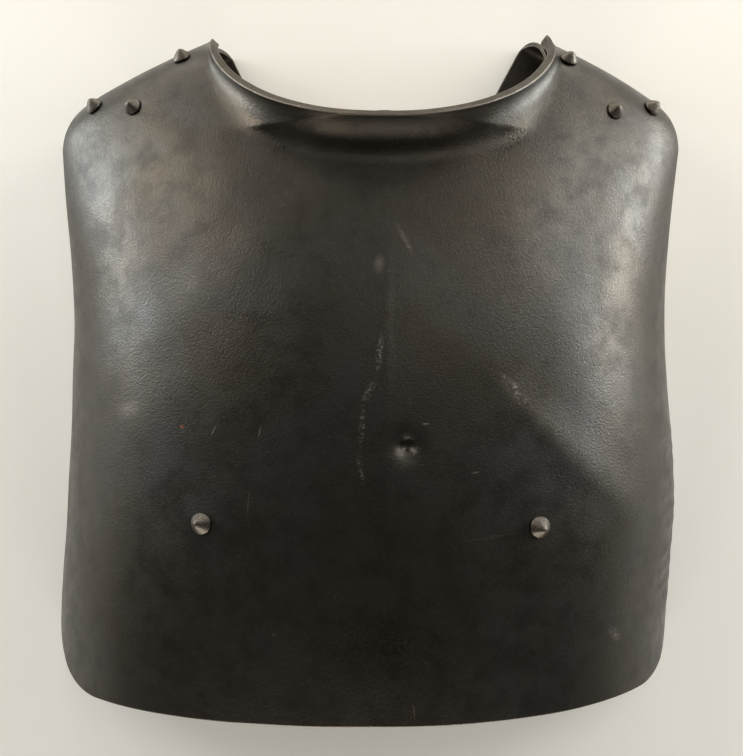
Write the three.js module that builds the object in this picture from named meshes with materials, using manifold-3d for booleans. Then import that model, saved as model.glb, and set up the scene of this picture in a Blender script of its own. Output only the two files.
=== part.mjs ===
// Steel breastplate: a forged sheet with a flared collar, two riveted shoulder hooks and eight cone rivets.
// Millimetres, +Z up. It lies on its back: x to the right as seen from the front, y towards the neck,
// z out of the chest. It rests on the side edges of the sheet and on the rear legs of the hooks.
import * as THREE from "three";
import { mergeVertices } from "three/addons/utils/BufferGeometryUtils.js";
import Module from "manifold-3d";

const wasm = await Module();
wasm.setup();

// ---- driving dimensions ----

const GAP = 0.35;                  // clearance between pieces that touch
const CURVED_GAP = 0.7;            // the same where curved faces lie on each other
const SHEET = 3.6;                 // thickness of the breastplate
const STRIP = 3;                   // thickness of a shoulder hook

// Cross-sections of the plate: half widths each side of x = 0, and the height of its side edges.
const SECTIONS = [
  { y: -205, left: 217.0, right: 203.5, edge: 0.7 },
  { y: -170, left: 217.2, right: 205.3, edge: 0.7 },
  { y: -130, left: 215.3, right: 208.4, edge: 0.7 },
  { y: -88, left: 211.8, right: 210.9, edge: 3 },
  { y: -46, left: 208.5, right: 208.6, edge: 7 },
  { y: -5, left: 205.5, right: 203.2, edge: 13 },
  { y: 36, left: 202.5, right: 199.6, edge: 20 },
  { y: 78, left: 201.9, right: 199.0, edge: 28 },
  { y: 118, left: 203.6, right: 200.7, edge: 36 },
  { y: 150, left: 204.2, right: 203.0, edge: 41 },
];

const CREST = { height: 130, y: -50, neckY: 128, neckDrop: 26, neckPower: 2.3, lowDrop: 12 };
const WRAP = { power: 2.25, reach: 0.955 };            // section curve: 2 is an ellipse, more is squarer
const LOWER = { y: -205.6, rise: 7, riseWidth: 200 };
const SHOULDER = { corner: 42, rollDrop: 16, rollWidth: 28, rollPower: 3.5 };
// Each side's outline. The collar's tip bends inwards by its curl and ends in a tongue this wide and proud.
// A hook's neck edge lies at each side's own places along the shoulder line: at that line, at the front
// leg's end and on the rear leg. Its bend has two handle lengths.
const SIDES = [
  {
    name: "left", sign: -1, cornerY: 148, slope: 26.1, lowCorner: 40,
    curl: 1.5, tip: { width: 3, proud: 1 }, hook: { edge: 83, leg: 72, rear: 91.5, bend: [11, 10] },
  },
  {
    name: "right", sign: 1, cornerY: 150.5, slope: 28.3, lowCorner: 34,
    curl: 4, tip: { width: 5, proud: 10 }, hook: { edge: 75.5, leg: 59, rear: 88, bend: [20, 17] },
  },
];
const NECK = { x: 7.8, y: 228, halfWidth: 113.5, depth: 74, power: 2.08 };
const CURL = { y: 200, rise: 20 };                     // where a side's collar tip starts to bend inwards
const FLARE = { height: 27, tipHeight: 3.5, width: 27, tipWidth: 5, power: 2.3 };

// Marks of wear and of the hammer, pressed into the sheet.
const PIT = { x: 20.5, y: -39.5, dish: 2.6, dishRadius: 17, core: 3.2, coreRadius: 5 };
const KEEL = { x: 10, y: 35, height: 1.6, width: 34, length: 95 };
const CREASE = { x: 121, y: -43, angle: -43, height: 1.1, width: 11, length: 62 };

const RIVET = {
  shoulder: { radius: 6, height: 6.6 },
  chest: { radius: 6.7, height: 7.4 },
  shank: 2.6,
  rim: 0.7,
  tip: 2.1,
  tipDrop: 1.05,
  point: 1.05,
  pointDrop: 0.35,
  innerRadius: 4.6,
  innerFlat: 3.2,
  innerHeight: 1.5,
  seat: 0.8,
};
const RIVETS = [
  { name: "rivet_left_neck", x: -122, y: 205.8, kind: "shoulder" },
  { name: "rivet_left_outer", x: -179.3, y: 175.5, kind: "shoulder" },
  { name: "rivet_left_inner", x: -151.5, y: 172, kind: "shoulder" },
  { name: "rivet_right_neck", x: 126.2, y: 204.2, kind: "shoulder" },
  { name: "rivet_right_outer", x: 181.5, y: 174.8, kind: "shoulder" },
  { name: "rivet_right_inner", x: 154.7, y: 169.5, kind: "shoulder" },
  { name: "rivet_chest_left", x: -100.5, y: -86, kind: "chest" },
  { name: "rivet_chest_right", x: 99.3, y: -88, kind: "chest" },
];

// A hook's places run along the shoulder line from its outer end, and across it away from the edge.
const HOOK = {
  outer: -8,                       // outer edge of the front leg
  rearOuter: 20,                   // outer edge of the rear leg
  frontReach: 36,
  rearTop: 5,
  rearReach: 96,
  endCorner: 0.62,                 // share of the half width that is rounded at the end
  endRound: 26,
};

// How finely the solids are meshed.
const GRID = { corner: 3, shoulder: 7, tip: 5, rim: 24, rows: 31, evenness: 0.7 };
const HOOK_GRID = { across: 9, front: 6, bend: 8, rear: 5 };
const RIVET_SIDES = 14;
const HOLE_SIDES = 12;
const FINE_STEPS = 2000;
const HALVINGS = 40;
const SLOPE_STEP = 0.05;
const LARGEST_SHARE = 1.02;        // sections are followed a little past their side edge

// ---- small helpers ----

const degrees = THREE.MathUtils.degToRad;
const lerp = THREE.MathUtils.lerp;

// Smooth value of one column of a table at a height y.
function column(rows, y, key) {
  const last = rows.length - 1;
  const at = THREE.MathUtils.clamp(y, rows[0].y, rows[last].y);
  const slope = (i) => {
    const a = rows[Math.max(i - 1, 0)];
    const b = rows[Math.min(i + 1, last)];
    return (b[key] - a[key]) / (b.y - a.y);
  };
  let i = 0;
  while (i < last - 1 && at > rows[i + 1].y) {
    i += 1;
  }
  const step = rows[i + 1].y - rows[i].y;
  const u = (at - rows[i].y) / step;
  const u2 = u * u;
  const u3 = u2 * u;
  return (2 * u3 - 3 * u2 + 1) * rows[i][key] + (u3 - 2 * u2 + u) * step * slope(i)
    + (3 * u2 - 2 * u3) * rows[i + 1][key] + (u3 - u2) * step * slope(i + 1);
}

// Steps from 0 to 1 that crowd together at the given places.
function spread(count, crowds) {
  const density = (t) => crowds.reduce(
    (sum, crowd) => sum + crowd.weight * Math.exp(-(((t - crowd.at) / crowd.width) ** 2)), 1);
  const total = [0];
  for (let i = 0; i < FINE_STEPS; i += 1) {
    total.push(total[i] + density((i + 0.5) / FINE_STEPS));
  }
  const steps = [];
  let k = 0;
  for (let i = 0; i <= count; i += 1) {
    const wanted = (i / count) * total[FINE_STEPS];
    while (k < FINE_STEPS && total[k] < wanted) {
      k += 1;
    }
    steps.push(k / FINE_STEPS);
  }
  return steps;
}

// ---- plan of the plate ----

const bell = (value, width) => Math.exp(-((value / width) ** 2));

function halfWidth(side, y) {
  return column(SECTIONS, y, side.name);
}

// Centre of the rounded shoulder corner, and where it runs into the straight shoulder line.
function shoulderFrame(side) {
  const slope = degrees(side.slope);
  const centre = new THREE.Vector2(
    side.sign * (halfWidth(side, side.cornerY) - SHOULDER.corner), side.cornerY);
  const out = new THREE.Vector2(side.sign * Math.sin(slope), Math.cos(slope));
  const along = new THREE.Vector2(-side.sign * Math.cos(slope), Math.sin(slope));
  const start = centre.clone().addScaledVector(out, SHOULDER.corner);
  return { centre, out, along, start, turn: Math.PI / 2 - slope };
}

SIDES.forEach((side) => {
  side.frame = shoulderFrame(side);
});

// Distance from a plan point to the shoulder line, positive on the chest side.
function shoulderDistance(side, x, y) {
  const { start, out } = side.frame;
  return (start.x - x) * out.x + (start.y - y) * out.y;
}

function sideX(side, y) {
  const lowCentre = LOWER.y + side.lowCorner;
  if (y > side.cornerY) {
    const up = y - side.cornerY;
    const width = halfWidth(side, side.cornerY) - SHOULDER.corner + Math.sqrt(SHOULDER.corner ** 2 - up ** 2);
    return side.sign * width;
  }
  const down = Math.max(lowCentre - y, 0);
  const cut = side.lowCorner - Math.sqrt(side.lowCorner ** 2 - down ** 2);
  return side.sign * (halfWidth(side, y) - cut);
}

function lowerY(x) {
  const side = x < 0 ? SIDES[0] : SIDES[1];
  const over = Math.max(Math.abs(x) - halfWidth(side, LOWER.y + side.lowCorner) + side.lowCorner, 0);
  const lift = side.lowCorner - Math.sqrt(side.lowCorner ** 2 - over ** 2);
  return LOWER.y + lift + LOWER.rise * (Math.max(x, 0) / LOWER.riseWidth) ** 2;
}

// How far the collar bends inwards at a height y, on the side that x lies on.
function curl(x, y) {
  const side = x < NECK.x ? SIDES[0] : SIDES[1];
  return side.sign * side.curl * (Math.max(y - CURL.y, 0) / CURL.rise) ** 2;
}

// Point on the collar's rim, a superellipse with bent tips, at an angle from its lowest point.
function rimPoint(angle) {
  const across = Math.sign(angle) * Math.abs(Math.sin(angle)) ** (2 / NECK.power);
  const x = NECK.x + NECK.halfWidth * across;
  const y = NECK.y - NECK.depth * Math.cos(angle) ** (2 / NECK.power);
  return new THREE.Vector2(x - curl(x, y), y);
}

// Angle on the collar's rim where it meets the shoulder line.
function tipAngle(side) {
  let low = 0;
  let high = Math.PI / 2;
  for (let i = 0; i < HALVINGS; i += 1) {
    const middle = (low + high) / 2;
    const point = rimPoint(side.sign * middle);
    if (shoulderDistance(side, point.x, point.y) > 0) {
      low = middle;
    } else {
      high = middle;
    }
  }
  return low;
}

// Half of the upper outline, from the collar's rim over its tongue to the middle of the shoulder corner.
function shoulderOutline(side) {
  const { centre, along, start, turn } = side.frame;
  const tip = rimPoint(side.sign * tipAngle(side));
  const before = rimPoint(side.sign * (tipAngle(side) - side.tip.width / NECK.depth));
  const after = tip.clone().addScaledVector(along, -side.tip.width);
  const proud = tip.clone().sub(before).setLength(side.tip.proud);
  const tongue = new THREE.CubicBezierCurve(before, tip.clone().add(proud), after.clone().add(proud), after);
  const points = tongue.getPoints(GRID.tip);
  for (let i = 1; i <= GRID.shoulder; i += 1) {
    points.push(after.clone().lerp(start, i / GRID.shoulder));
  }
  for (let i = 1; i <= GRID.corner; i += 1) {
    const angle = turn * (1 - i / (2 * GRID.corner));
    points.push(new THREE.Vector2(
      centre.x + side.sign * SHOULDER.corner * Math.cos(angle),
      centre.y + SHOULDER.corner * Math.sin(angle)));
  }
  return points;
}

// The whole upper outline from left to right: shoulder, collar rim, shoulder.
function upperOutline() {
  const [left, right] = SIDES.map(shoulderOutline);
  const [from, to] = SIDES.map((side) => side.sign * (tipAngle(side) - side.tip.width / NECK.depth));
  const pit = (Math.asin((PIT.x - NECK.x) / NECK.halfWidth) - from) / (to - from);
  const rim = spread(GRID.rim, [{ at: pit, width: 0.09, weight: 1.3 }]);
  const middle = rim.slice(1, -1).map((t) => rimPoint(lerp(from, to, t)));
  return [...left.reverse(), ...middle, ...right];
}

// Grid of plan points between the lower edge, the two sides and the upper outline.
function planGrid() {
  const upper = upperOutline();
  const count = upper.length - 1;
  const ends = SIDES.map((side) => {
    const x = sideX(side, LOWER.y + side.lowCorner * (1 - Math.SQRT1_2));
    return new THREE.Vector2(x, lowerY(x));
  });
  const highs = [upper[0].y, upper[count].y];
  const share = upper.map((point, j) => {
    const across = (point.x - upper[0].x) / (upper[count].x - upper[0].x);
    return lerp(across, j / count, GRID.evenness);
  });
  const lower = share.map((s) => {
    const x = lerp(ends[0].x, ends[1].x, s);
    return new THREE.Vector2(x, lowerY(x));
  });
  const pitRow = (PIT.y - LOWER.y) / (NECK.y - NECK.depth - LOWER.y);
  const rows = spread(GRID.rows, [
    { at: 0, width: 0.03, weight: 1.2 },
    { at: pitRow, width: 0.05, weight: 1.2 },
    { at: 1, width: 0.09, weight: 2.2 },
  ]);
  return rows.map((t) => {
    const sides = SIDES.map((side, k) => {
      const y = lerp(ends[k].y, highs[k], t);
      return new THREE.Vector2(sideX(side, y), y);
    });
    return share.map((s, j) => {
      const point = lower[j].clone().lerp(upper[j], t);
      const edge = sides[0].clone().lerp(sides[1], s);
      const corners = ends[0].clone().lerp(ends[1], s).lerp(upper[0].clone().lerp(upper[count], s), t);
      return point.add(edge).sub(corners);
    });
  });
}

// ---- form of the plate ----

function crestHeight(y) {
  const up = Math.max(y - CREST.y, 0) / (CREST.neckY - CREST.y);
  const down = Math.max(CREST.y - y, 0) / (CREST.y - LOWER.y);
  return CREST.height - CREST.neckDrop * up ** CREST.neckPower - CREST.lowDrop * down ** 2;
}

// How far a section has fallen from the crest towards its side edge, from 0 to 1.
function wrap(share) {
  const fall = (value) => 1 - (1 - value ** WRAP.power) ** (1 / WRAP.power);
  return fall(Math.min(share, LARGEST_SHARE) * WRAP.reach) / fall(WRAP.reach);
}

// Distance from a plan point to the rim, close enough near the collar.
function rimDistance(x, y) {
  const n = NECK.power;
  const across = Math.abs(x + curl(x, y) - NECK.x) / NECK.halfWidth;
  const down = Math.max(NECK.y - y, 0) / NECK.depth;
  const radius = (across ** n + down ** n) ** (1 / n);
  const slope = Math.hypot(across ** (n - 1) / NECK.halfWidth, down ** (n - 1) / NECK.depth);
  return (radius - 1) * radius ** (n - 1) / slope;
}

function flareHeight(x, y) {
  const grown = THREE.MathUtils.clamp((NECK.y - y) / NECK.depth, 0, 1) ** 2;
  const width = lerp(FLARE.tipWidth, FLARE.width, grown);
  const distance = Math.min(rimDistance(x, y), width);
  return lerp(FLARE.tipHeight, FLARE.height, grown) * (1 - distance / width) ** FLARE.power;
}

function rollDrop(x, y) {
  const distance = Math.min(...SIDES.map((side) => shoulderDistance(side, x, y)));
  const share = THREE.MathUtils.clamp(1 - distance / SHOULDER.rollWidth, 0, 1);
  return SHOULDER.rollDrop * share ** SHOULDER.rollPower;
}

function markHeight(x, y) {
  const pit = Math.hypot(x - PIT.x, y - PIT.y);
  const dish = PIT.dish * Math.max(1 - pit / PIT.dishRadius, 0) ** 2;
  const core = PIT.core * bell(pit, PIT.coreRadius);
  const keel = KEEL.height * Math.exp(-Math.abs(x - KEEL.x) / KEEL.width) * bell(y - KEEL.y, KEEL.length);
  const angle = degrees(CREASE.angle);
  const along = (x - CREASE.x) * Math.cos(angle) + (y - CREASE.y) * Math.sin(angle);
  const across = (y - CREASE.y) * Math.cos(angle) - (x - CREASE.x) * Math.sin(angle);
  const crease = CREASE.height * bell(across, CREASE.width) * bell(along, CREASE.length);
  return keel + crease - dish - core;
}

// Height of the chest's curve alone, rolled down at the shoulders.
function chestHeight(x, y) {
  const side = x < 0 ? SIDES[0] : SIDES[1];
  const crest = crestHeight(y);
  const edge = column(SECTIONS, y, "edge");
  return crest - (crest - edge) * wrap(Math.abs(x) / halfWidth(side, y)) - rollDrop(x, y);
}

// Height of the plate's outer face over a plan point.
function height(x, y) {
  return chestHeight(x, y) + flareHeight(x, y) + markHeight(x, y);
}

function facePoint(x, y) {
  return new THREE.Vector3(x, y, height(x, y));
}

// Upright direction of a surface given by its height over the plan.
function faceNormal(x, y, surface = height) {
  const slopeX = (surface(x + SLOPE_STEP, y) - surface(x - SLOPE_STEP, y)) / (2 * SLOPE_STEP);
  const slopeY = (surface(x, y + SLOPE_STEP) - surface(x, y - SLOPE_STEP)) / (2 * SLOPE_STEP);
  return new THREE.Vector3(-slopeX, -slopeY, 1).normalize();
}

// ---- solids ----

// Closed shell between a grid of outer points and the same grid moved inwards by the thickness.
function shell(outer, normals, thickness) {
  const rows = outer.length;
  const columns = outer[0].length;
  const inner = outer.map((row, i) => row.map(
    (point, j) => point.clone().addScaledVector(normals[i][j], -thickness)));
  const vertices = [...outer.flat(), ...inner.flat()];
  const offset = rows * columns;
  const at = (i, j) => i * columns + j;
  const faces = [];
  const quad = (a, b, c, d) => faces.push(a, b, c, a, c, d);
  for (let i = 0; i + 1 < rows; i += 1) {
    for (let j = 0; j + 1 < columns; j += 1) {
      quad(at(i, j), at(i, j + 1), at(i + 1, j + 1), at(i + 1, j));
      quad(offset + at(i, j), offset + at(i + 1, j), offset + at(i + 1, j + 1), offset + at(i, j + 1));
    }
  }
  for (let j = 0; j + 1 < columns; j += 1) {
    quad(at(0, j + 1), at(0, j), offset + at(0, j), offset + at(0, j + 1));
    quad(at(rows - 1, j), at(rows - 1, j + 1), offset + at(rows - 1, j + 1), offset + at(rows - 1, j));
  }
  for (let i = 0; i + 1 < rows; i += 1) {
    quad(at(i, 0), at(i + 1, 0), offset + at(i + 1, 0), offset + at(i, 0));
    const end = at(i, columns - 1);
    const next = at(i + 1, columns - 1);
    quad(next, end, offset + end, offset + next);
  }
  const geometry = new THREE.BufferGeometry();
  geometry.setAttribute("position", new THREE.Float32BufferAttribute(
    vertices.flatMap((vertex) => vertex.toArray()), 3));
  geometry.setIndex(faces);
  return geometry;
}

// Normals of a grid of points, from its neighbours along and across.
function gridNormals(points) {
  return points.map((row, i) => row.map((point, j) => {
    const below = points[Math.max(i - 1, 0)][j];
    const above = points[Math.min(i + 1, points.length - 1)][j];
    const along = above.clone().sub(below);
    const across = row[Math.min(j + 1, row.length - 1)].clone().sub(row[Math.max(j - 1, 0)]);
    return across.cross(along).normalize();
  }));
}

function toManifold(geometry) {
  const plain = geometry.clone();
  plain.deleteAttribute("normal");
  plain.deleteAttribute("uv");
  const merged = mergeVertices(plain, 1e-4);
  const mesh = new wasm.Mesh({
    numProp: 3,
    vertProperties: new Float32Array(merged.attributes.position.array),
    triVerts: new Uint32Array(merged.index.array),
  });
  return new wasm.Manifold(mesh);
}

function toGeometry(manifold) {
  const mesh = manifold.getMesh();
  const geometry = new THREE.BufferGeometry();
  geometry.setAttribute("position", new THREE.BufferAttribute(mesh.vertProperties, mesh.numProp));
  geometry.setIndex(new THREE.BufferAttribute(mesh.triVerts, 1));
  return geometry;
}

// Matrix that stands a local +Z on the plate's outer face.
function standOnFace(x, y) {
  const up = faceNormal(x, y);
  const turn = new THREE.Quaternion().setFromUnitVectors(new THREE.Vector3(0, 0, 1), up);
  return new THREE.Matrix4().compose(facePoint(x, y), turn, new THREE.Vector3(1, 1, 1));
}

function rivetHole(rivet) {
  const depth = 4 * (SHEET + STRIP);
  const hole = new THREE.CylinderGeometry(RIVET.shank + GAP, RIVET.shank + GAP, depth, HOLE_SIDES);
  hole.rotateX(Math.PI / 2);
  hole.applyMatrix4(standOnFace(rivet.x, rivet.y));
  return toManifold(hole);
}

function drill(solid, rivets) {
  return rivets.reduce((result, rivet) => result.subtract(rivetHole(rivet)), solid);
}

function breastPlate() {
  const plan = planGrid();
  const outer = plan.map((row) => row.map((point) => facePoint(point.x, point.y)));
  const normals = plan.map((row) => row.map((point) => faceNormal(point.x, point.y)));
  const sheet = toManifold(shell(outer, normals, SHEET)).trimByPlane([0, 0, 1], 0);
  return toGeometry(drill(sheet, RIVETS));
}

// Point under the plate where a hook's outer face lies against it, without following the collar's flare.
function undersidePoint(side, share, across) {
  const { start, out } = side.frame;
  const neck = lerp(side.hook.edge, side.hook.leg, across / HOOK.frontReach);
  const along = lerp(HOOK.outer, neck, share);
  const plan = start.clone().addScaledVector(side.frame.along, along).addScaledVector(out, -across);
  const inwards = faceNormal(plan.x, plan.y, chestHeight).multiplyScalar(-(SHEET + CURVED_GAP));
  return new THREE.Vector3(plan.x, plan.y, chestHeight(plan.x, plan.y)).add(inwards);
}

// One line of a hook's outer face, from the front leg's end to the rear leg's end.
function hookLine(side, share) {
  const { start, out } = side.frame;
  const rearAlong = lerp(HOOK.rearOuter, side.hook.rear, share);
  const points = [];
  for (let i = 0; i < HOOK_GRID.front; i += 1) {
    points.push(undersidePoint(side, share, HOOK.frontReach * (1 - i / HOOK_GRID.front)));
  }
  const edge = undersidePoint(side, share, 0);
  const heading = edge.clone().sub(undersidePoint(side, share, 1)).normalize();
  const top = start.clone().addScaledVector(side.frame.along, rearAlong).addScaledVector(out, -HOOK.rearTop);
  const landing = new THREE.Vector3(top.x, top.y, 0);
  const outwards = new THREE.Vector3(out.x, out.y, 0);
  const [bendStart, bendEnd] = side.hook.bend;
  const bend = new THREE.CubicBezierCurve3(
    edge,
    edge.clone().addScaledVector(heading, bendStart),
    landing.clone().addScaledVector(outwards, bendEnd),
    landing);
  points.push(...bend.getPoints(HOOK_GRID.bend));
  const offCentre = Math.abs(2 * share - 1);
  const rounding = Math.max(offCentre - (1 - HOOK.endCorner), 0) / HOOK.endCorner;
  const shortened = HOOK.endRound * (1 - Math.sqrt(Math.max(1 - rounding ** 2, 0)));
  const length = HOOK.rearReach - HOOK.rearTop - shortened;
  for (let i = 1; i <= HOOK_GRID.rear; i += 1) {
    points.push(landing.clone().addScaledVector(outwards, -length * (i / HOOK_GRID.rear)));
  }
  return points;
}

function shoulderHook(side) {
  const shares = spread(HOOK_GRID.across, [
    { at: 0, width: 0.12, weight: 1.5 },
    { at: 1, width: 0.12, weight: 1.5 },
  ]);
  const lines = shares.map((share) => hookLine(side, side.sign < 0 ? share : 1 - share));
  const grid = lines[0].map((_, i) => lines.map((line) => line[i]));
  const strip = toManifold(shell(grid, gridNormals(grid), STRIP));
  const own = RIVETS.filter((rivet) => rivet.name.startsWith(`rivet_${side.name}`));
  return toGeometry(drill(strip, own));
}

// Cone head outside, shank through the plates, and a low clenched head inside.
function rivetSolid(rivet) {
  const head = RIVET[rivet.kind];
  const grip = rivet.kind === "shoulder" ? SHEET + CURVED_GAP + STRIP : SHEET;
  const seat = -grip - RIVET.seat;
  const profile = [
    [0, seat - RIVET.innerHeight],
    [RIVET.innerFlat, seat - RIVET.innerHeight],
    [RIVET.innerRadius, seat],
    [RIVET.shank, seat],
    [RIVET.shank, CURVED_GAP],
    [head.radius, CURVED_GAP],
    [head.radius, CURVED_GAP + RIVET.rim],
    [RIVET.tip, head.height - RIVET.tipDrop],
    [RIVET.point, head.height - RIVET.pointDrop],
    [0, head.height],
  ];
  const solid = new THREE.LatheGeometry(profile.map(([r, z]) => new THREE.Vector2(r, z)), RIVET_SIDES);
  solid.rotateX(Math.PI / 2);
  solid.applyMatrix4(standOnFace(rivet.x, rivet.y));
  return solid;
}

// ---- materials and assembly ----

const steel = (color, roughness) => new THREE.MeshStandardMaterial({ color, roughness, metalness: 0.85 });

function piece(name, geometry, color, roughness) {
  const mesh = new THREE.Mesh(geometry, steel(color, roughness));
  mesh.name = name;
  return mesh;
}

const group = new THREE.Group();
group.add(piece("breast_plate", breastPlate(), 0x3a3632, 0.5));
SIDES.forEach((side) => {
  group.add(piece(`shoulder_hook_${side.name}`, shoulderHook(side), 0x2f2b28, 0.55));
});
RIVETS.forEach((rivet) => {
  group.add(piece(rivet.name, rivetSolid(rivet), 0x45413c, 0.45));
});

// The origin is the middle of the bottom of everything built.
const bounds = new THREE.Box3().setFromObject(group);
const middle = bounds.getCenter(new THREE.Vector3());
group.position.set(-middle.x, -middle.y, -bounds.min.z);

export default group;
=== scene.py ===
import math

import bpy
import numpy as np
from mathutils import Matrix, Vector


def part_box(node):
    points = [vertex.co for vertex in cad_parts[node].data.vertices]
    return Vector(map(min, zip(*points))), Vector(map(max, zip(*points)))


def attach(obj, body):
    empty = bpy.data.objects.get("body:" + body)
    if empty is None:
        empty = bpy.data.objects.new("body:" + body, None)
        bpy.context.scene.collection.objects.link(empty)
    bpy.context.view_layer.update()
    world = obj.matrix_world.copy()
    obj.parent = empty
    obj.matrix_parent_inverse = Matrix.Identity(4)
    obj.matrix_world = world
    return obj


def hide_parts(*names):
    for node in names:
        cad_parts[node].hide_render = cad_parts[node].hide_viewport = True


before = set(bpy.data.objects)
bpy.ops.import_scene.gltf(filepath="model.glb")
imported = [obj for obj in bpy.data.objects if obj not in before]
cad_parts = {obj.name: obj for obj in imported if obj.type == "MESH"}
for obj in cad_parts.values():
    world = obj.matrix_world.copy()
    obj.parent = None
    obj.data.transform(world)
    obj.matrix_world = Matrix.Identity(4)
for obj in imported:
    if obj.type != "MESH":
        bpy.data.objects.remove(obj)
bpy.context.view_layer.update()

# ---- form, in millimetres, x to the right and y to the neck from the plate's own middle ----

SHEET = 3.6
STRIP = 3.0
CURVED_GAP = 0.7
EDGE_ROUND = 0.7

SECTIONS = {
    "y": (-205, -170, -130, -88, -46, -5, 36, 78, 118, 150),
    "left": (217.0, 217.2, 215.3, 211.8, 208.5, 205.5, 202.5, 201.9, 203.6, 204.2),
    "right": (203.5, 205.3, 208.4, 210.9, 208.6, 203.2, 199.6, 199.0, 200.7, 203.0),
    "edge": (0.7, 0.7, 0.7, 3, 7, 13, 20, 28, 36, 41),
}
CREST = dict(height=130, y=-50, neck_y=128, neck_drop=26, neck_power=2.3, low_drop=12)
WRAP = dict(power=2.25, reach=0.955)
LOWER = dict(y=-205.6, rise=7, rise_width=200)
SHOULDER = dict(corner=42, roll_drop=16, roll_width=28, roll_power=3.5)
SIDES = (
    dict(
        name="left", sign=-1, corner_y=148, slope=26.1, low_corner=40,
        curl=1.5, tip_width=3, tip_proud=1, hook=dict(edge=83, leg=72, rear=91.5, bend=(11, 10)),
    ),
    dict(
        name="right", sign=1, corner_y=150.5, slope=28.3, low_corner=34,
        curl=4, tip_width=5, tip_proud=10, hook=dict(edge=75.5, leg=59, rear=88, bend=(20, 17)),
    ),
)
NECK = dict(x=7.8, y=228, half_width=113.5, depth=74, power=2.08)
CURL = dict(y=200, rise=20)
FLARE = dict(height=27, tip_height=3.5, width=27, tip_width=5, power=2.3)
PIT = dict(x=20.5, y=-39.5, dish=2.6, dish_radius=17, core=3.2, core_radius=5)
KEEL = dict(x=10, y=35, height=1.6, width=34, length=95)
CREASE = dict(x=121, y=-43, angle=-43, height=1.1, width=11, length=62)

RIVET_SHOULDER = dict(radius=6, height=6.6)
RIVET_CHEST = dict(radius=6.7, height=7.4)
RIVET = dict(shank=2.6, rim=0.7, tip=2.1, inner_radius=4.6, inner_height=1.5, seat=0.8,
             rounding=1.5, lean=0.9, turns=56)
RIVETS = (
    ("rivet_left_neck", -122, 205.8, RIVET_SHOULDER),
    ("rivet_left_outer", -179.3, 175.5, RIVET_SHOULDER),
    ("rivet_left_inner", -151.5, 172, RIVET_SHOULDER),
    ("rivet_right_neck", 126.2, 204.2, RIVET_SHOULDER),
    ("rivet_right_outer", 181.5, 174.8, RIVET_SHOULDER),
    ("rivet_right_inner", 154.7, 169.5, RIVET_SHOULDER),
    ("rivet_chest_left", -100.5, -86, RIVET_CHEST),
    ("rivet_chest_right", 99.3, -88, RIVET_CHEST),
)
HOOK = dict(
    outer=-8, rear_outer=20, front_reach=36, rear_top=5, rear_reach=96,
    end_corner=0.62, end_round=26, front_rows=30, bend_rows=49, columns=43,
)
LIP = dict(height=0.4, width=1.7, extra=0.3, tip_extra=2.0, reach=4.5)
ROWS = 262
COLUMNS = 283
COARSE = 3
# Extra rows near the lower edge and near the collar: how many more, and over what share.
CROWD_LOW = dict(more=1.2, width=0.03)
CROWD_HIGH = dict(more=1.6, width=0.09)


def column(y, key):
    """Smooth value of one column of the sections at y."""
    ys = np.array(SECTIONS["y"], float)
    values = np.array(SECTIONS[key], float)
    slopes = np.gradient(values)
    slopes[1:-1] = (values[2:] - values[:-2]) / (ys[2:] - ys[:-2])
    slopes[0] = (values[1] - values[0]) / (ys[1] - ys[0])
    slopes[-1] = (values[-1] - values[-2]) / (ys[-1] - ys[-2])
    at = np.clip(y, ys[0], ys[-1])
    i = np.clip(np.searchsorted(ys, at, side="right") - 1, 0, len(ys) - 2)
    step = ys[i + 1] - ys[i]
    u = (at - ys[i]) / step
    return (
        (2 * u**3 - 3 * u**2 + 1) * values[i]
        + (u**3 - 2 * u**2 + u) * step * slopes[i]
        + (3 * u**2 - 2 * u**3) * values[i + 1]
        + (u**3 - u**2) * step * slopes[i + 1]
    )


def bell(value, width):
    return np.exp(-((value / width) ** 2))


def half_width(side, y):
    return column(y, side["name"])


def frame_shoulder(side):
    """Adds the rounded corner's centre and the shoulder line to a side."""
    slope = math.radians(side["slope"])
    sign = side["sign"]
    reach = float(half_width(side, side["corner_y"])) - SHOULDER["corner"]
    side["centre"] = np.array([sign * reach, side["corner_y"]])
    side["out"] = np.array([sign * math.sin(slope), math.cos(slope)])
    side["along"] = np.array([-sign * math.cos(slope), math.sin(slope)])
    side["start"] = side["centre"] + SHOULDER["corner"] * side["out"]
    side["turn"] = math.pi / 2 - slope


for one_side in SIDES:
    frame_shoulder(one_side)


def shoulder_distance(side, x, y):
    start, out = side["start"], side["out"]
    return (start[0] - x) * out[0] + (start[1] - y) * out[1]


def side_x(side, y):
    """Plan of a side edge."""
    corner = SHOULDER["corner"]
    low = side["low_corner"]
    up = np.clip(y - side["corner_y"], 0, corner)
    high = half_width(side, side["corner_y"]) - corner + np.sqrt(corner**2 - up**2)
    down = np.clip(LOWER["y"] + low - y, 0, low)
    straight = half_width(side, y) - (low - np.sqrt(low**2 - down**2))
    return side["sign"] * np.where(y > side["corner_y"], high, straight)


def lower_y(x):
    """Plan of the lower edge."""
    lifts = []
    for side in SIDES:
        low = side["low_corner"]
        reach = half_width(side, LOWER["y"] + low) - low
        over = np.clip(side["sign"] * x - reach, 0, low)
        lifts.append(low - np.sqrt(low**2 - over**2))
    lift = np.where(x < 0, lifts[0], lifts[1])
    return LOWER["y"] + lift + LOWER["rise"] * (np.maximum(x, 0) / LOWER["rise_width"]) ** 2


def curl(x, y):
    """How far the collar bends inwards at y, on the side that x lies on."""
    grown = (np.maximum(y - CURL["y"], 0) / CURL["rise"]) ** 2
    return np.where(x < NECK["x"], -SIDES[0]["curl"], SIDES[1]["curl"]) * grown


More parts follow.
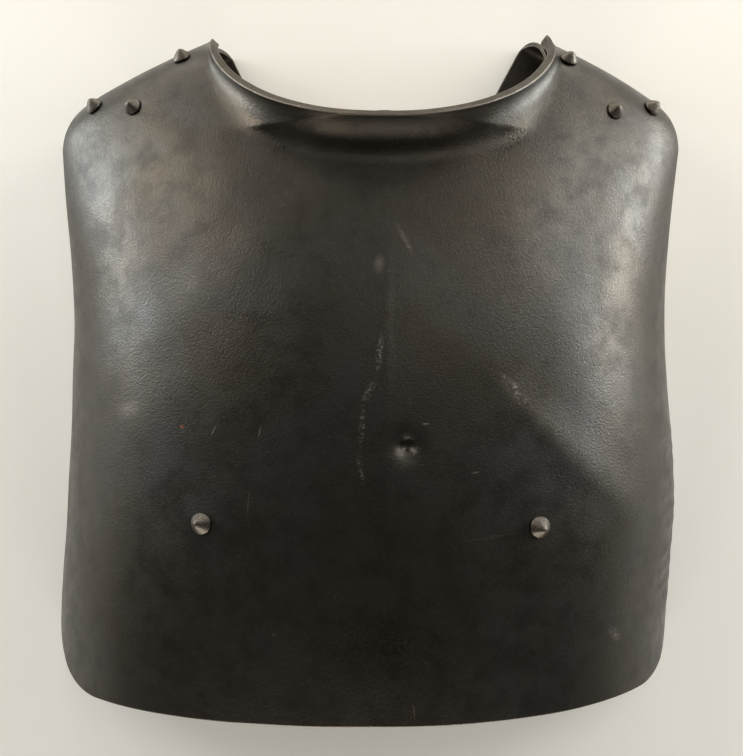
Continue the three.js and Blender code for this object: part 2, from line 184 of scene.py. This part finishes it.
def rim_point(angle):
    """Point on the collar's rim, a superellipse with bent tips, at an angle from its low point."""
    power = 2 / NECK["power"]
    x = NECK["x"] + NECK["half_width"] * np.sign(angle) * np.abs(np.sin(angle)) ** power
    y = NECK["y"] - NECK["depth"] * np.cos(angle) ** power
    return np.stack([x - curl(x, y), y], -1)


def tip_angle(side):
    """Angle on the collar's rim where it meets the shoulder line."""
    low, high = 0.0, math.pi / 2
    for _ in range(40):
        middle = (low + high) / 2
        x, y = rim_point(side["sign"] * middle)
        if shoulder_distance(side, x, y) > 0:
            low = middle
        else:
            high = middle
    return low


def unit(vectors):
    return vectors / np.maximum(np.linalg.norm(vectors, axis=-1, keepdims=True), 1e-12)


def line(a, b, count):
    share = np.linspace(0, 1, count)[:, None]
    return a * (1 - share) + b * share


def bezier(a, b, c, d, count):
    t = np.linspace(0, 1, count)[:, None]
    return a * (1 - t) ** 3 + 3 * b * t * (1 - t) ** 2 + 3 * c * t**2 * (1 - t) + d * t**3


def shoulder_outline(side):
    """Points from the collar's rim over its tongue and the shoulder line to the corner's middle."""
    sign, along = side["sign"], side["along"]
    angle = tip_angle(side)
    tip = rim_point(sign * angle)
    before = rim_point(sign * (angle - side["tip_width"] / NECK["depth"]))
    after = tip - along * side["tip_width"]
    proud = unit(tip - before) * side["tip_proud"]
    around = bezier(before, tip + proud, after + proud, after, 60)
    straight = line(after, side["start"], 400)[1:]
    turn = side["turn"] * (1 - np.linspace(0, 0.5, 100)[1:])
    corner = side["centre"] + SHOULDER["corner"] * np.stack([sign * np.cos(turn), np.sin(turn)], -1)
    return np.concatenate([around, straight, corner])


def resample(points, count, crowd_at, crowd_width, crowd_weight):
    """Points spaced along a line, closer together near the given places."""
    steps = np.hypot(*np.diff(points, axis=0).T)
    along = np.concatenate([[0], np.cumsum(steps)])
    fine = np.linspace(0, along[-1], 8000)
    density = np.ones_like(fine)
    for place in crowd_at:
        nearest = along[np.argmin(np.hypot(*(points - place).T))]
        density += crowd_weight * bell(fine - nearest, crowd_width)
    total = np.concatenate([[0], np.cumsum((density[1:] + density[:-1]) / 2)])
    wanted = np.interp(np.linspace(0, total[-1], count), total, fine)
    picked = np.stack([np.interp(wanted, along, points[:, k]) for k in range(2)], -1)
    return picked, wanted / along[-1]


def upper_outline():
    halves = [shoulder_outline(side) for side in SIDES]
    ends = [side["sign"] * (tip_angle(side) - side["tip_width"] / NECK["depth"]) for side in SIDES]
    rim = rim_point(np.linspace(ends[0], ends[1], 1200))[1:-1]
    points = np.concatenate([halves[0][::-1], rim, halves[1]])
    tips = [rim_point(side["sign"] * tip_angle(side)) for side in SIDES]
    return resample(points, COLUMNS, tips, 9, 3)


def plan_grid():
    """Plan points between the lower edge, the two sides and the upper outline."""
    upper, travelled = upper_outline()
    ends = []
    for side in SIDES:
        x = side_x(side, LOWER["y"] + side["low_corner"] * (1 - math.sqrt(0.5)))
        ends.append(np.array([float(x), float(lower_y(x))]))
    across = (upper[:, 0] - upper[0, 0]) / (upper[-1, 0] - upper[0, 0])
    share = 0.3 * across + 0.7 * travelled
    lower_x = ends[0][0] + (ends[1][0] - ends[0][0]) * share
    lower = np.stack([lower_x, lower_y(lower_x)], -1)
    even = np.linspace(0, 1, 4000)
    low_crowd = CROWD_LOW["more"] * bell(even, CROWD_LOW["width"])
    high_crowd = CROWD_HIGH["more"] * bell(even - 1, CROWD_HIGH["width"])
    density = 1 + low_crowd + high_crowd
    total = np.concatenate([[0], np.cumsum((density[1:] + density[:-1]) / 2)])
    rows = np.interp(np.linspace(0, total[-1], ROWS), total, even)[:, None]
    edges = []
    for side, end, high in zip(SIDES, ends, (upper[0], upper[-1])):
        y = end[1] + (high[1] - end[1]) * rows
        edges.append(np.stack([side_x(side, y), y], -1))
    t = rows[..., None]
    s = share[None, :, None]
    between = lower[None] * (1 - t) + upper[None] * t
    sideways = edges[0] * (1 - s) + edges[1] * s
    low_line = ends[0] * (1 - s) + ends[1] * s
    high_line = upper[0] * (1 - s) + upper[-1] * s
    return between + sideways - (low_line * (1 - t) + high_line * t)


def crest_height(y):
    up = np.maximum(y - CREST["y"], 0) / (CREST["neck_y"] - CREST["y"])
    down = np.maximum(CREST["y"] - y, 0) / (CREST["y"] - LOWER["y"])
    neck_fall = CREST["neck_drop"] * up ** CREST["neck_power"]
    return CREST["height"] - neck_fall - CREST["low_drop"] * down**2


def wrap(share):
    """How far a section has fallen from the crest towards its side edge, from 0 to 1."""
    power, reach = WRAP["power"], WRAP["reach"]
    at = np.minimum(share, 1.02) * reach
    return (1 - (1 - at**power) ** (1 / power)) / (1 - (1 - reach**power) ** (1 / power))


def rim_distance(x, y):
    n = NECK["power"]
    across = np.abs(x + curl(x, y) - NECK["x"]) / NECK["half_width"]
    down = np.maximum(NECK["y"] - y, 0) / NECK["depth"]
    radius = np.maximum((across**n + down**n) ** (1 / n), 1e-6)
    slope = np.hypot(across ** (n - 1) / NECK["half_width"], down ** (n - 1) / NECK["depth"])
    return (radius - 1) * radius ** (n - 1) / np.maximum(slope, 1e-9)


def collar_depth(y):
    """How far down the neck opening y lies, from 0 to 1 at the rim's lowest point."""
    return np.clip((NECK["y"] - y) / NECK["depth"], 0, 1)


def flare_height(x, y):
    grown = collar_depth(y) ** 2
    width = FLARE["tip_width"] + (FLARE["width"] - FLARE["tip_width"]) * grown
    rim = FLARE["tip_height"] + (FLARE["height"] - FLARE["tip_height"]) * grown
    return rim * (1 - np.minimum(rim_distance(x, y), width) / width) ** FLARE["power"]


def roll_drop(x, y):
    distance = np.minimum(*[shoulder_distance(side, x, y) for side in SIDES])
    share = np.clip(1 - distance / SHOULDER["roll_width"], 0, 1)
    return SHOULDER["roll_drop"] * share ** SHOULDER["roll_power"]


def mark_height(x, y):
    pit = np.hypot(x - PIT["x"], y - PIT["y"])
    dish = PIT["dish"] * np.maximum(1 - pit / PIT["dish_radius"], 0) ** 2
    core = PIT["core"] * bell(pit, PIT["core_radius"])
    ridge = np.exp(-np.abs(x - KEEL["x"]) / KEEL["width"])
    keel = KEEL["height"] * ridge * bell(y - KEEL["y"], KEEL["length"])
    angle = math.radians(CREASE["angle"])
    dx, dy = x - CREASE["x"], y - CREASE["y"]
    along = dx * math.cos(angle) + dy * math.sin(angle)
    across = dy * math.cos(angle) - dx * math.sin(angle)
    crease = CREASE["height"] * bell(across, CREASE["width"]) * bell(along, CREASE["length"])
    return keel + crease - dish - core


def chest_height(x, y):
    """Height of the chest's curve alone, rolled down at the shoulders."""
    width = np.where(x < 0, half_width(SIDES[0], y), half_width(SIDES[1], y))
    crest = crest_height(y)
    return crest - (crest - column(y, "edge")) * wrap(np.abs(x) / width) - roll_drop(x, y)


def height(x, y):
    """Height of the plate's outer face over a plan point."""
    return chest_height(x, y) + flare_height(x, y) + mark_height(x, y)


def face_point(x, y):
    return np.stack([x, y, height(x, y)], -1)


def face_normal(x, y, surface=height):
    step = 0.05
    slope_x = (surface(x + step, y) - surface(x - step, y)) / (2 * step)
    slope_y = (surface(x, y + step) - surface(x, y - step)) / (2 * step)
    return unit(np.stack([-slope_x, -slope_y, np.ones_like(slope_x)], -1))


# ---- the hammer's marks, too fine for the solids ----

WAVES = np.random.default_rng(4).uniform(0, 1, (26, 4))
DENT_DEPTH = 0.05
STRIP_WAVES = dict(top=-30, bottom=-152, inset=9, width=8, depth=0.55, length=13)


def dents(x, y):
    """Shallow uneven waves left by planishing."""
    total = np.zeros_like(x)
    for turn, size, phase, weight in WAVES:
        length = 24 + 60 * size
        way = 2 * math.pi * turn
        wave = np.sin(2 * math.pi * ((x * math.cos(way) + y * math.sin(way)) / length + phase))
        total += wave * (0.3 + weight) * length / 84
    return total * DENT_DEPTH


def strip_waves(x, y):
    """Short hammered waves down the lower right-hand edge."""
    data = STRIP_WAVES
    inset = side_x(SIDES[1], y) - x - data["inset"]
    inside = 1 / (1 + np.exp(-(data["top"] - y) / 5)) / (1 + np.exp(-(y - data["bottom"]) / 5))
    wave = np.sin(2 * math.pi * y / data["length"] + 0.9 * np.sin(y / 7) + inset / 9)
    return data["depth"] * wave * bell(inset, data["width"]) * inside


# ---- meshes ----

# The kinds of face on a sheet, which are also its material slots:
# skins, edge faces and rounded corners, the last lightened as rubbed wear and as a painted edge
# highlight.
SKIN, FACE, CORNER = range(3)


def sheet_faces(rows, columns):
    """Faces of a grid of vertices, row by row."""
    i, j = np.meshgrid(np.arange(rows - 1), np.arange(columns - 1), indexing="ij")
    at = i * columns + j
    return np.stack([at, at + 1, at + columns + 1, at + columns], -1).reshape(-1, 4)


def boundary(rows, columns):
    """Grid places round the border, anticlockwise from the first corner."""
    low = [(0, j) for j in range(columns - 1)]
    right = [(i, columns - 1) for i in range(rows - 1)]
    high = [(rows - 1, j) for j in range(columns - 1, 0, -1)]
    left = [(i, 0) for i in range(rows - 1, 0, -1)]
    return low + right + high + left


def coarse_polygons(rows, columns, ring, inner):
    """Faces of the inner skin: wide cells inside, with every border vertex kept on the outside."""
    edge = {place: k for k, place in enumerate(boundary(rows, columns))}

    def vertex(i, j):
        return ring[edge[(i, j)]] if (i, j) in edge else inner[(i, j)]

    faces = []
    for i in range(0, rows - 1, COARSE):
        for j in range(0, columns - 1, COARSE):
            top, right = i + COARSE, j + COARSE
            way = [(i, k) for k in (range(j, right) if i == 0 else (j,))]
            way += [(k, right) for k in (range(i, top) if right == columns - 1 else (i,))]
            way += [(top, k) for k in (range(right, j, -1) if top == rows - 1 else (right,))]
            way += [(k, j) for k in (range(top, i, -1) if j == 0 else (top,))]
            faces.append([vertex(*place) for place in reversed(way)])
    return faces


def sheet(points, normals, thickness, rounding):
    """Vertices, faces and kinds of a closed sheet with rounded edges and a coarser inner skin."""
    rows, columns = points.shape[:2]
    depths = np.broadcast_to(thickness, (rows, columns))[..., None]
    places = boundary(rows, columns)
    border = np.array([points[p] for p in places])
    up = np.array([normals[p] for p in places])
    full = np.array([depths[p] for p in places])
    tangent = unit(np.roll(border, -1, 0) - np.roll(border, 1, 0))
    out = unit(np.cross(tangent, up))
    skin = points.copy()
    for place, point, way in zip(places, border, out):
        skin[place] = point - way * rounding
    vertices = [skin.reshape(-1, 3)]
    total = rows * columns
    ring = np.array([i * columns + j for i, j in places])
    faces = [list(face) for face in sheet_faces(rows, columns)]
    angles = [math.radians(a) for a in (30, 60, 90)]
    corner = [(rounding * (1 - math.sin(a)), rounding * (1 - math.cos(a))) for a in angles]
    profile = corner + [(0, full / 2)]
    profile += [(inset, full - depth) for inset, depth in reversed(corner)]
    profile += [(rounding, full)]
    kinds = [SKIN] * len(faces)
    for row, (inset, depth) in enumerate(profile):
        vertices.append(border - out * inset - up * depth)
        kinds += [FACE if row in (3, 4) else CORNER] * len(places)
        following = np.arange(total, total + len(places))
        nxt, nxt_ring = np.roll(following, -1), np.roll(ring, -1)
        faces += [list(face) for face in np.stack([ring, following, nxt, nxt_ring], -1)]
        ring = following
        total += len(places)
    inner = {}
    for i in range(COARSE, rows - 1, COARSE):
        for j in range(COARSE, columns - 1, COARSE):
            inner[(i, j)] = total
            total += 1
    vertices.append(np.array([points[p] - normals[p] * depths[p] for p in inner]))
    faces += coarse_polygons(rows, columns, ring, inner)
    kinds += [SKIN] * (len(faces) - len(kinds))
    return np.concatenate(vertices), faces, kinds


CAD_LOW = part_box("breast_plate")[0] * 1000
PLAN = plan_grid()
SHIFT = np.array([CAD_LOW.x - PLAN[..., 0].min(), CAD_LOW.y - PLAN[..., 1].min(), 0])


def add_piece(name, vertices, faces, kinds, materials, node):
    """A smooth mesh that stands for a CAD node."""
    places = (vertices + SHIFT) / 1000
    places[:, 2] = np.maximum(places[:, 2], 0.0001)
    mesh = bpy.data.meshes.new(name)
    mesh.from_pydata(places.tolist(), [], [[int(k) for k in face] for face in faces])
    mesh.polygons.foreach_set("use_smooth", [True] * len(mesh.polygons))
    for material in materials:
        mesh.materials.append(material)
    mesh.polygons.foreach_set("material_index", kinds)
    mesh.update()
    piece = bpy.data.objects.new(name, mesh)
    bpy.context.scene.collection.objects.link(piece)
    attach(piece, "root")
    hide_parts(node)
    return piece


def plate_mesh():
    x, y = PLAN[..., 0], PLAN[..., 1]
    normals = face_normal(x, y)
    lip = LIP["height"] * bell(rim_distance(x, y), LIP["width"])
    relief = dents(x, y) + strip_waves(x, y) + lip
    extra = LIP["extra"] + LIP["tip_extra"] * (1 - collar_depth(y) ** 3)
    thickness = SHEET + lip + extra * bell(rim_distance(x, y), LIP["reach"])
    return sheet(face_point(x, y) + normals * relief[..., None], normals, thickness, EDGE_ROUND)


def underside_point(side, share, across):
    """Point under the plate where a hook's outer face lies against it."""
    hook = side["hook"]
    neck = hook["edge"] + (hook["leg"] - hook["edge"]) * across / HOOK["front_reach"]
    along = HOOK["outer"] + (neck - HOOK["outer"]) * share
    x, y = side["start"] + side["along"] * along - side["out"] * across
    inwards = -face_normal(x, y, chest_height) * (SHEET + CURVED_GAP)
    return np.array([x, y, float(chest_height(x, y))]) + inwards


def hook_line(side, share):
    """One line of a hook's outer face, from the front leg's end to the rear leg's end."""
    rows = HOOK["front_rows"]
    rear_along = HOOK["rear_outer"] + (side["hook"]["rear"] - HOOK["rear_outer"]) * share
    reaches = [HOOK["front_reach"] * (1 - k / rows) for k in range(rows)]
    front = [underside_point(side, share, reach) for reach in reaches]
    edge = underside_point(side, share, 0)
    heading = unit(edge - underside_point(side, share, 1))
    top = side["start"] + side["along"] * rear_along - side["out"] * HOOK["rear_top"]
    landing = np.array([top[0], top[1], 0])
    outwards = np.array([side["out"][0], side["out"][1], 0])
    start, end = side["hook"]["bend"]
    leaving, arriving = edge + heading * start, landing + outwards * end
    bend = bezier(edge, leaving, arriving, landing, HOOK["bend_rows"])
    off_centre = abs(2 * share - 1)
    rounding = max(off_centre - (1 - HOOK["end_corner"]), 0) / HOOK["end_corner"]
    shortened = HOOK["end_round"] * (1 - math.sqrt(max(1 - rounding**2, 0)))
    length = HOOK["rear_reach"] - HOOK["rear_top"] - shortened
    rear = [landing - outwards * length * k / rows for k in range(1, rows + 1)]
    return np.concatenate([front, bend, rear])


def hook_mesh(side):
    shares = (1 - np.cos(np.linspace(0, math.pi, HOOK["columns"]))) / 2
    if side["sign"] > 0:
        shares = shares[::-1]
    grid = np.stack([hook_line(side, share) for share in shares], 1)
    normals = unit(np.cross(np.gradient(grid, axis=1), np.gradient(grid, axis=0)))
    return sheet(grid, normals, STRIP, EDGE_ROUND)


def rounded(profile, radius):
    """The profile with its inner corners rounded."""
    out = [profile[0]]
    for before, at, after in zip(profile, profile[1:], profile[2:]):
        a, b, c = (np.array(p, float) for p in (before, at, after))
        ways = [unit(a - b), unit(c - b)]
        reach = [min(radius, np.linalg.norm(way) * 0.45) for way in (a - b, c - b)]
        start, end = b + ways[0] * reach[0], b + ways[1] * reach[1]
        for t in np.linspace(0, 1, 5):
            out.append(tuple(start * (1 - t) ** 2 + 2 * b * t * (1 - t) + end * t**2))
    return out + [profile[-1]]


def rivet_mesh(x, y, head, seed):
    """A hand-filed cone head, its shank and its inner head, standing on the plate's face."""
    shoulder = head is RIVET_SHOULDER
    grip = SHEET + CURVED_GAP + STRIP if shoulder else SHEET
    seat = -grip - RIVET["seat"]
    profile = rounded([
        (0.02, seat - RIVET["inner_height"]),
        (RIVET["inner_radius"] * 0.7, seat - RIVET["inner_height"]),
        (RIVET["inner_radius"], seat),
        (RIVET["shank"], seat),
        (RIVET["shank"], CURVED_GAP * 0.5),
        (head["radius"], CURVED_GAP * 0.5),
        (head["radius"], CURVED_GAP + RIVET["rim"]),
        (RIVET["tip"], head["height"] - RIVET["tip"] / 2),
        (0.02, head["height"]),
    ], RIVET["rounding"])
    turns = np.linspace(0, 2 * math.pi, RIVET["turns"], endpoint=False)
    phases = np.random.default_rng(seed).uniform(0, 2 * math.pi, 3)
    three_sided = 0.03 * (1 + np.sin(3 * turns + phases[0])) / 2
    five_sided = 0.025 * (1 + np.sin(5 * turns + phases[1])) / 2
    uneven = 1 - three_sided - five_sided
    up = face_normal(np.array(float(x)), np.array(float(y)))
    side = unit(np.cross([0, 1, 0], up))
    ahead = np.cross(up, side)
    foot = face_point(np.array(float(x)), np.array(float(y)))
    lean = (side * math.cos(phases[2]) + ahead * math.sin(phases[2])) * RIVET["lean"]
    around = np.cos(turns)[:, None] * side + np.sin(turns)[:, None] * ahead
    vertices = []
    for radius, level in profile:
        ring = radius * uneven[:, None] * around
        vertices.append(foot + ring + up * level + lean * (max(level, 0) / head["height"]) ** 2)
    count = len(turns)
    faces = []
    for k in range(len(profile) - 1):
        for n in range(count):
            m = (n + 1) % count
            faces.append([k * count + n, k * count + m, (k + 1) * count + m, (k + 1) * count + n])
    faces.append([n for n in reversed(range(count))])
    last = (len(profile) - 1) * count
    faces.append([last + n for n in range(count)])
    return np.concatenate(vertices), faces, [SKIN] * len(faces)


# ---- materials ----


class Nodes:
    """Short ways to add and join shader nodes."""

    def __init__(self, name):
        self.material = bpy.data.materials.new(name)
        self.material.use_nodes = True
        self.tree = self.material.node_tree
        self.shader = self.tree.nodes["Principled BSDF"]
        self.place = self.tree.nodes.new("ShaderNodeTexCoord").outputs["Object"]

    def new(self, kind, **settings):
        node = self.tree.nodes.new(kind)
        for key, value in settings.items():
            setattr(node, key, value)
        return node

    def put(self, socket, value):
        if isinstance(value, bpy.types.NodeSocket):
            self.tree.links.new(value, socket)
        else:
            socket.default_value = value

    def noise(self, scale, detail=2.0, rough=0.5, distortion=0.0):
        node = self.new("ShaderNodeTexNoise")
        self.put(node.inputs["Vector"], self.place)
        node.inputs["Scale"].default_value = scale
        node.inputs["Detail"].default_value = detail
        node.inputs["Roughness"].default_value = rough
        node.inputs["Distortion"].default_value = distortion
        return node.outputs["Fac"]

    def ramp(self, value, low, high, out_low=0.0, out_high=1.0):
        node = self.new("ShaderNodeMapRange", interpolation_type="SMOOTHSTEP")
        self.put(node.inputs["Value"], value)
        limits = {"From Min": low, "From Max": high, "To Min": out_low, "To Max": out_high}
        for key, number in limits.items():
            node.inputs[key].default_value = number
        return node.outputs["Result"]

    def math(self, operation, a, b):
        node = self.new("ShaderNodeMath", operation=operation)
        self.put(node.inputs[0], a)
        self.put(node.inputs[1], b)
        return node.outputs[0]

    def mix(self, factor, a, b):
        node = self.new("ShaderNodeMix", data_type="RGBA")
        self.put(node.inputs["Factor"], factor)
        self.put(node.inputs["A"], a)
        self.put(node.inputs["B"], b)
        return node.outputs["Result"]

    def close(self):
        """Joins the colour and the roughness to the shader."""
        self.put(self.shader.inputs["Base Color"], self.colour)
        self.put(self.shader.inputs["Roughness"], self.rough)

    def spot(self, x, y, length, width, angle):
        """Mask that is 1 at a plan point, in millimetres, and 0 from an ellipse round it."""
        node = self.new("ShaderNodeMapping", vector_type="TEXTURE")
        self.put(node.inputs["Vector"], self.place)
        node.inputs["Location"].default_value = ((x + SHIFT[0]) / 1000, (y + SHIFT[1]) / 1000, 0.06)
        node.inputs["Rotation"].default_value = (0, 0, math.radians(angle))
        node.inputs["Scale"].default_value = (length / 2000, width / 2000, 100)
        size = self.new("ShaderNodeVectorMath", operation="LENGTH")
        self.put(size.inputs[0], node.outputs[0])
        return self.ramp(size.outputs["Value"], 1.0, 0.0)


def shade(value):
    """An sRGB grey or colour, 0 to 255, as linear."""
    numbers = value if isinstance(value, tuple) else (value,) * 3
    linear = [((n / 255 + 0.055) / 1.055) ** 2.4 if n > 10 else n / 255 / 12.92 for n in numbers]
    return (*linear, 1.0)


# The orange-peel relief of the steel, its distance in metres.
PEEL = dict(strength=0.6, distance=0.00032, fine_share=0.35)


def steel(name, base, warm, rough, grain, speck=0.3):
    """Blackened steel with a mottled patina, an orange-peel face and fine rubbed specks."""
    n = Nodes(name)
    broad = n.noise(11, 4, 0.6, 0.4)
    middle = n.noise(60, 5, 0.65)
    fine = n.noise(1100, 3, 0.65)
    light = tuple(min(c * 1.5 + 12, 255) for c in base)
    colour = n.mix(n.ramp(broad, 0.35, 0.65), shade(base), shade(warm))
    dark = tuple(c * 0.66 for c in base)
    colour = n.mix(n.ramp(middle, 0.4, 0.75, 0, 0.35), colour, shade(dark))
    n.colour = n.mix(n.ramp(fine, 0.56, 0.72, 0, speck), colour, shade(light))
    n.rough = n.ramp(middle, 0.3, 0.7, rough - 0.05, rough + 0.08)
    n.shader.inputs["Metallic"].default_value = 1.0
    peel = n.noise(grain, 3, 0.55)
    bump = n.new("ShaderNodeBump")
    bump.inputs["Strength"].default_value = PEEL["strength"]
    bump.inputs["Distance"].default_value = PEEL["distance"]
    n.put(bump.inputs["Height"], n.math("ADD", peel, n.math("MULTIPLY", fine, PEEL["fine_share"])))
    n.put(n.shader.inputs["Normal"], bump.outputs["Normal"])
    n.close()
    return n


# Marks on the plate's face: place, length, width, turn in degrees, strength, how broken up,
# and colour. Most are scratches, rubs and rust; two pale ones are painted highlights and the two
# darkest are painted dark reflections.
# Pale steel for rubs and scratches, also used for painted highlights on the keel and the crease.
PALE_RUB_AND_HIGHLIGHT = (150, 143, 132)
BRIGHT = (205, 200, 190)
RUST = (150, 82, 34)
# Painted dark reflection: darkens the steel where the dark side of the room is mirrored in it.
PAINTED_DARK_REFLECTION = (26, 24, 22)
MARKS = (
    (4.4, 66.7, 15, 9, 80, 0.5, 0.3, PALE_RUB_AND_HIGHLIGHT),
    (19.8, 81.4, 30, 5, -63, 0.45, 0.6, PALE_RUB_AND_HIGHLIGHT),
    (4.6, 14, 30, 5.5, 84, 0.5, 1.0, BRIGHT),
    (-1.5, -8, 22, 5.5, 62, 0.55, 1.0, BRIGHT),
    (-5.5, -28, 30, 5, 86, 0.5, 1.0, BRIGHT),
    (-6.2, -52, 26, 5, 98, 0.4, 1.0, BRIGHT),
    # Painted highlight: pale line on the lit side of the keel ridge.
    (11, 31, 130, 9, 90, 0.12, 0.7, PALE_RUB_AND_HIGHLIGHT),
    (86, -8.4, 34, 12, -49, 0.45, 1.0, PALE_RUB_AND_HIGHLIGHT),
    (82, -4, 26, 4, -46, 0.5, 1.0, BRIGHT),
    # Painted highlight: pale band along the lit side of the crease.
    (112, -36, 130, 18, -44, 0.3, 0.4, PALE_RUB_AND_HIGHLIGHT),
    (-150, -19, 24, 15, 20, 0.3, 0.5, PALE_RUB_AND_HIGHLIGHT),
    (-113, -29, 3.6, 3, 0, 0.9, 0.2, RUST),
    (-93, -31, 9, 1.1, 60, 0.6, 0.2, BRIGHT),
    (-65, -31, 9, 1.1, 75, 0.6, 0.2, BRIGHT),
    (-72, -73, 22, 1.1, 84, 0.5, 0.3, PALE_RUB_AND_HIGHLIGHT),
    (60, -55, 7, 1.1, 10, 0.6, 0.2, BRIGHT),
    (31.5, -26.5, 6, 1.3, 0, 0.7, 0.2, BRIGHT),
    (25, -196, 13, 1.3, 96, 0.6, 0.2, PALE_RUB_AND_HIGHLIGHT),
    (70, -93, 48, 1.4, 7, 0.3, 0.4, PALE_RUB_AND_HIGHLIGHT),
    (-57, -150, 5, 3, 40, 0.4, 0.5, PALE_RUB_AND_HIGHLIGHT),
    (152, -160, 16, 9, -50, 0.35, 0.85, BRIGHT),
    # Painted dark reflection over the lower middle of the plate.
    (10, -158, 120, 66, 0, 0.5, 0.7, PAINTED_DARK_REFLECTION),
    # Painted dark reflection in the band under the collar.
    (8, 140, 130, 26, 0, 0.4, 0.5, PAINTED_DARK_REFLECTION),
)


# Rubbed, glossier places in the valleys beside the collar: place, length, width and
# turn in degrees.
GLOSS = ((-66, 152, 74, 26, -47), (87, 147, 74, 26, 50))


def plate_finish():
    """The plate's steel with its scratches, rubbed places and rust, painted highlights and painted
    dark reflections.
    """
    n = steel("plate steel", (79, 77, 73), (77, 72, 65), 0.38, 820)
    broken = n.noise(520, 4, 0.7)
    for x, y, length, width, turn, strength, breaks, colour in MARKS:
        mask = n.spot(x, y, length, width, turn)
        pieces = n.ramp(broken, 0.46, 0.6, 1 - breaks, 1.0)
        mask = n.math("MULTIPLY", n.math("MULTIPLY", mask, pieces), strength)
        n.colour = n.mix(mask, n.colour, shade(colour))
        if colour is RUST:
            n.rough = n.math("ADD", n.rough, n.math("MULTIPLY", mask, 0.3))
    for place in GLOSS:
        n.rough = n.math("SUBTRACT", n.rough, n.math("MULTIPLY", n.spot(*place), 0.16))
    n.close()
    return n.material


plate_steel = plate_finish()
edge_steel = steel("edge steel", (84, 80, 74), (78, 72, 64), 0.48, 900).material
# The rounded corners get a lighter steel: partly rubbed wear, partly a painted highlight for the
# bright lines along the edges.
rubbed_highlit_corner_look = steel("rubbed corner steel, painted highlight", (124, 118, 110), (108, 102, 94), 0.46, 900, 0.6)
rubbed_highlit_corner_steel = rubbed_highlit_corner_look.material
hook_steel = steel("hook steel", (66, 64, 61), (64, 58, 52), 0.46, 700).material
rivet_steel = steel("rivet steel", (102, 97, 90), (98, 90, 80), 0.44, 900).material

# ---- pieces ----

plate = add_piece("plate", *plate_mesh(), (plate_steel, edge_steel, rubbed_highlit_corner_steel), "breast_plate")
for one_side in SIDES:
    node_name = "shoulder_hook_" + one_side["name"]
    finishes = (hook_steel, edge_steel, rubbed_highlit_corner_steel)
    hook = add_piece("hook_" + one_side["name"], *hook_mesh(one_side), finishes, node_name)
for number, (node_name, rivet_x, rivet_y, head) in enumerate(RIVETS):
    mesh_data = rivet_mesh(rivet_x, rivet_y, head, number)
    rivet = add_piece(node_name.replace("rivet", "cone"), *mesh_data, (rivet_steel,), node_name)

# ---- stage ----

TABLE = dict(
    half_width=4.0, rough=0.75, glow=0.15,
    warm=(247, 243, 233), pale=(252, 250, 243), fleck=(214, 204, 186),
)
ROOM = dict(colour=(1.0, 0.93, 0.84, 1), strength=0.11)
CAMERA = dict(sensor=36, lens=50.0, height=0.735)
DAYLIGHT_LEFT = (0.88, 0.94, 1.0)
DAYLIGHT_RIGHT = (0.92, 0.96, 1.0)
LAMP = (1.0, 0.97, 0.92)
# Lights: name, place, target, width, depth, radiance and colour.
LIGHTS = (
    ("left window", (-1.26, 0.42, 0.17), (0, 0.08, 0.05), 0.62, 0.34, 15.5, DAYLIGHT_LEFT),
    ("right window", (1.28, 0.36, 0.17), (0, 0.08, 0.05), 0.66, 0.34, 16.5, DAYLIGHT_RIGHT),
    ("left corner", (-1.12, 0.82, 0.8), (0, 0.1, 0.05), 0.8, 0.55, 5.5, LAMP),
    ("right corner", (1.12, 0.82, 0.8), (0, 0.1, 0.05), 0.8, 0.55, 5.5, LAMP),
    ("far wall", (0.0, 1.6, 0.36), (0, 0, 0.05), 2.6, 0.5, 4.5, (1.0, 0.96, 0.89)),
    ("near wall", (-0.05, -1.5, 0.26), (0, 0, 0), 1.6, 0.4, 7.0, (1.0, 0.94, 0.85)),
    ("far ceiling", (0.45, 0.8, 1.9), (0, 0, 0), 1.1, 0.8, 0.9, (1.0, 0.96, 0.9)),
)


def table_material():
    n = Nodes("table")
    cloud = n.noise(1.3, 2, 0.5)
    fine = n.noise(60, 3, 0.6)
    colour = n.mix(n.ramp(cloud, 0.3, 0.7), shade(TABLE["warm"]), shade(TABLE["pale"]))
    colour = n.mix(n.ramp(fine, 0.5, 0.8, 0, 0.06), colour, shade(TABLE["fleck"]))
    n.put(n.shader.inputs["Base Color"], colour)
    n.shader.inputs["Roughness"].default_value = TABLE["rough"]
    n.put(n.shader.inputs["Emission Color"], colour)
    n.shader.inputs["Emission Strength"].default_value = TABLE["glow"]
    return n.material


def add_table():
    half = TABLE["half_width"]
    corners = [(-half, -half, 0), (half, -half, 0), (half, half, 0), (-half, half, 0)]
    mesh = bpy.data.meshes.new("table")
    mesh.from_pydata(corners, [], [(0, 1, 2, 3)])
    mesh.materials.append(table_material())
    floor = bpy.data.objects.new("table", mesh)
    bpy.context.scene.collection.objects.link(floor)


def add_light(name, place, target, width, depth, radiance, colour):
    """A soft rectangular light of an even brightness."""
    light = bpy.data.lights.new(name, "AREA")
    light.shape = "RECTANGLE"
    light.size = width
    light.size_y = depth
    light.energy = radiance * math.pi * width * depth
    light.color = colour
    lamp = bpy.data.objects.new(name, light)
    lamp.location = place
    lamp.rotation_euler = (Vector(target) - Vector(place)).to_track_quat("-Z", "Y").to_euler()
    bpy.context.scene.collection.objects.link(lamp)


def add_world():
    world = bpy.data.worlds.new("room")
    world.use_nodes = True
    background = world.node_tree.nodes["Background"]
    background.inputs["Color"].default_value = ROOM["colour"]
    background.inputs["Strength"].default_value = ROOM["strength"]
    bpy.context.scene.world = world


def add_camera():
    camera = bpy.data.cameras.new("camera")
    camera.sensor_width = CAMERA["sensor"]
    camera.lens = CAMERA["lens"]
    eye = bpy.data.objects.new("camera", camera)
    eye.location = (SHIFT[0] / 1000, SHIFT[1] / 1000, CAMERA["height"])
    bpy.context.scene.collection.objects.link(eye)
    bpy.context.scene.camera = eye


add_table()
for light_row in LIGHTS:
    add_light(*light_row)
add_world()
add_camera()
bpy.context.scene.view_settings.view_transform = "Standard"
